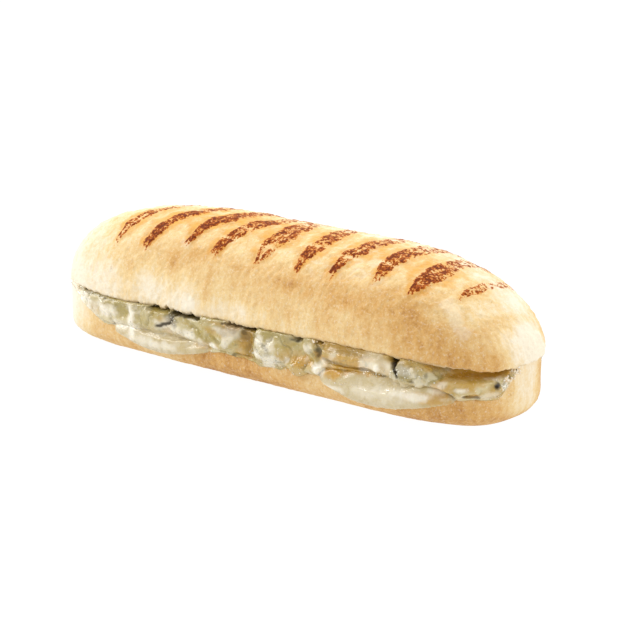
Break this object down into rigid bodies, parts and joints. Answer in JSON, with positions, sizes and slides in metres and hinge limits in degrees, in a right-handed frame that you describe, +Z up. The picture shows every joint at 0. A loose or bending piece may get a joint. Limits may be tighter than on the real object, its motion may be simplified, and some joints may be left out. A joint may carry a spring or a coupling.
{
  "type": "panini sandwich",
  "caption": "Long grilled bread roll with grill marks, cut along its length, with melted cheese spilling from the cut on both sides.",
  "frame": {"origin": "middle of the footprint, on the surface that the roll rests on", "axes": "+X along the roll, +Z up, and -Y is the side on which the lower ends of the grill marks show"},
  "size_m": [0.24, 0.075, 0.0602],
  "materials": {
    "crust_top": "matte",
    "crust_bottom": "matte",
    "melted_cheese": "satin",
    "pale_slice": "satin",
    "pale_curd": "satin",
    "veined_curd": "satin"
  },
  "bodies": {
    "root": {"bread_top": "crust_top", "bread_bottom": "crust_bottom", "cheese_melt": "melted_cheese", "slice_front_left": "pale_slice", "slice_front_right": "pale_slice", "slice_front_end": "pale_slice", "slice_front_upper": "pale_slice", "slice_back_left": "pale_slice", "slice_back_right": "pale_slice", "curd_end_left": "pale_curd", "curd_left": "pale_curd", "blue_crumb_veined": "veined_curd", "curd_bubble": "pale_curd", "blue_crumb_middle": "veined_curd", "curd_ball": "pale_curd", "curd_drip": "pale_curd", "curd_shiny": "pale_curd", "blue_crumb_right": "veined_curd", "blue_crumb_end": "veined_curd", "blue_crumb_back_left": "veined_curd", "curd_back": "pale_curd", "blue_crumb_back_middle": "veined_curd", "curd_back_right": "pale_curd", "blue_crumb_back_right": "veined_curd"}
  },
  "joints": []
}
